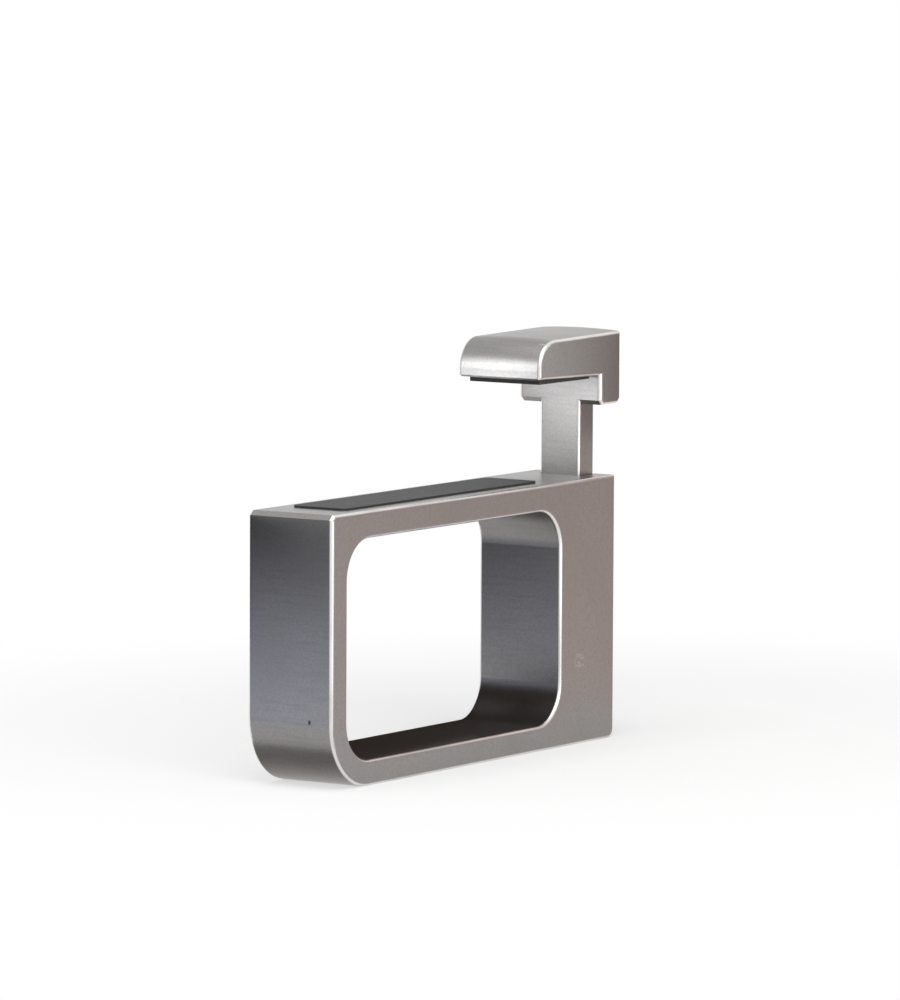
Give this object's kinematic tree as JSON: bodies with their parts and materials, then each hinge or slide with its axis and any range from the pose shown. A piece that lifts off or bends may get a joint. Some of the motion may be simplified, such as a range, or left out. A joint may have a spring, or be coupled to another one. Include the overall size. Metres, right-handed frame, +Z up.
{
  "type": "shelf bracket",
  "caption": "Cast wall bracket that clamps a shelf board between a looped arm and a screw-driven upper jaw.",
  "frame": {"origin": "on the wall, midway between the two wall screw holes", "axes": "+Y into the wall, so the bracket reaches out along -Y; +X along the wall; +Z up"},
  "size_m": [0.025, 0.1333, 0.106],
  "materials": {
    "zinc": "satin nickel plated die casting",
    "plate_steel": "zinc plated sheet",
    "screw_steel": "zinc plated",
    "ring_steel": "blackened spring steel",
    "pad_rubber": "matt elastomer"
  },
  "bodies": {
    "bracket": {"bracket_body": "zinc", "wall_plate": "plate_steel", "lock_screw": "screw_steel", "arm_pad": "pad_rubber"},
    "jaw": {"upper_jaw": "zinc", "jaw_pad": "pad_rubber"},
    "screw": {"clamp_screw": "screw_steel", "screw_retainer": "ring_steel"}
  },
  "joints": [
    {"name": "clamp_screw_spin", "type": "hinge", "parent": "bracket", "child": "screw", "pos_m": [0, -0.015, -0.0266], "axis": [0, 0, 1], "range_deg": [-5405, 5405]},
    {"name": "jaw_slide", "type": "slide", "parent": "bracket", "child": "jaw", "axis": [0, 0, 1], "range_m": [-0.015, 0.015]}
  ],
  "couplings": [
    {"joint": "clamp_screw_spin", "follows": "jaw_slide", "rad_per_m": -6283.2}
  ]
}
